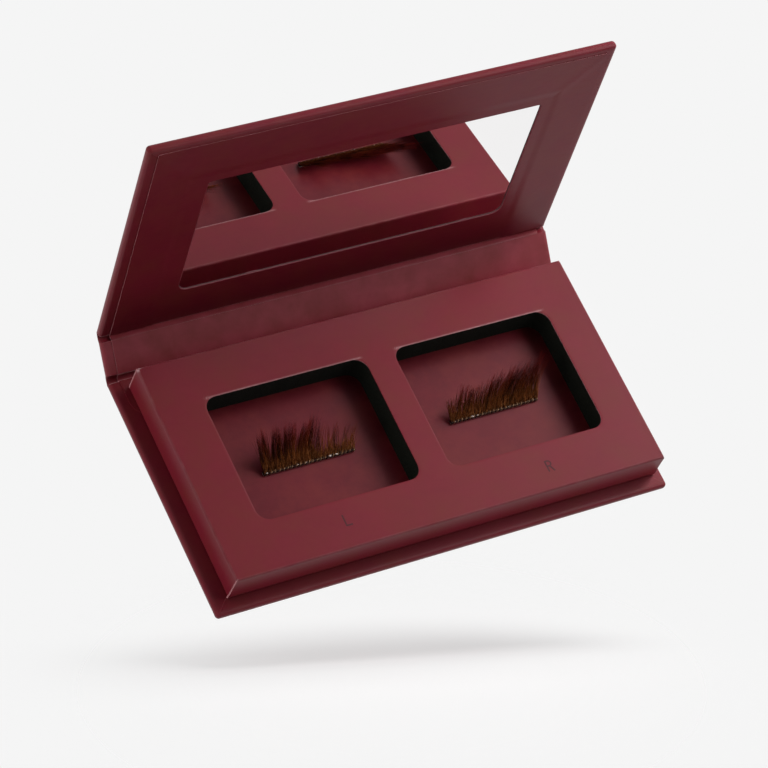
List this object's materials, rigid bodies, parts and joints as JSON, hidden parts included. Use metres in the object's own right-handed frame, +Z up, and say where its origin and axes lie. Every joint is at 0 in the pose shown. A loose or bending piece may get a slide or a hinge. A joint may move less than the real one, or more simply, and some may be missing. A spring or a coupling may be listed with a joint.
{
  "type": "false eyelash case",
  "caption": "Book-style paperboard case for false eyelashes, standing open: hinged lid with a recessed mirror, and a foam tray with rounded wells that hold the lashes.",
  "frame": {"origin": "centre of the base panel's underside", "axes": "+X across the case, +Y back towards the hinge, +Z up"},
  "size_m": [0.115, 0.0777, 0.0694],
  "materials": {
    "cover_paper": "soft-touch matt laminated burgundy paper",
    "liner_paper": "matt burgundy liner paper",
    "tray_card": "soft-touch matt burgundy card",
    "well_card": "matt burgundy card",
    "greyboard": "plain greyboard",
    "foam": "black closed-cell foam",
    "steel": "nickel-plated",
    "lash_hair": "brown fibre with a soft sheen",
    "lash_band": "dark brown thread band",
    "glue": "clear adhesive",
    "mirror_plate": "silvered mirror"
  },
  "bodies": {
    "base": {"base_board": "greyboard", "base_wrap": "cover_paper", "base_liner_flap": "liner_paper", "tray_glue_sheet": "glue", "tray_sleeve": "tray_card", "foam_insert": "foam", "well_floor": "well_card", "tray_magnets": "steel", "lash_glue_strips": "glue", "left_lash_band": "lash_band", "left_lash_hairs": "lash_hair", "right_lash_band": "lash_band", "right_lash_hairs": "lash_hair", "base_hinge_wrap": "cover_paper", "base_hinge_liner": "liner_paper"},
    "spine": {"spine_board": "greyboard", "spine_wrap": "cover_paper", "spine_liner": "liner_paper", "lid_hinge_wrap": "cover_paper", "lid_hinge_liner": "liner_paper"},
    "lid": {"lid_back_board": "greyboard", "lid_frame_board": "greyboard", "lid_wrap": "cover_paper", "lid_liner": "liner_paper", "lid_discs": "steel", "mirror_tape": "glue", "mirror": "mirror_plate"}
  },
  "joints": [
    {"name": "spine_hinge", "type": "hinge", "parent": "base", "child": "spine", "pos_m": [0, 0.0302, 0], "axis": [-1, 0, 0], "range_deg": [-55, 35], "deforming": ["base_hinge_wrap", "base_hinge_liner"]},
    {"name": "lid_hinge", "type": "hinge", "parent": "spine", "child": "lid", "pos_m": [0, 0.0404, 0.00714], "axis": [-1, 0, 0], "range_deg": [-41.5, 48.5], "deforming": ["lid_hinge_wrap", "lid_hinge_liner"]}
  ]
}
